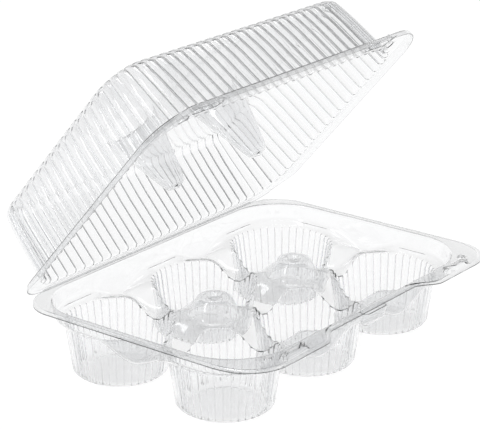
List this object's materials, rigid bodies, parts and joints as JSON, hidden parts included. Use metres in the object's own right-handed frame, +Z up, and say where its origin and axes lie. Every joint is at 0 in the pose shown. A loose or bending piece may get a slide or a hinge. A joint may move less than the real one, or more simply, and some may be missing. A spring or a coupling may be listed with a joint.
{
  "type": "cupcake box",
  "caption": "Clear hinged plastic box for cupcakes: a tray of fluted cups with a deep ribbed lid, shown part open.",
  "frame": {"origin": "on the table, under the middle of the six cups", "axes": "+X along the hinge, +Y towards the hinge at the back, +Z up"},
  "size_m": [0.2472, 0.2016, 0.1939],
  "materials": {
    "clear_sheet": "clear glossy thermoformed sheet"
  },
  "bodies": {
    "tray": {"tray": "clear_sheet"},
    "lid": {"lid": "clear_sheet"}
  },
  "joints": [
    {"name": "lid_hinge", "type": "hinge", "parent": "tray", "child": "lid", "pos_m": [0, 0.07976, 0.04575], "axis": [1, 0, 0], "range_deg": [-118, 49]}
  ]
}
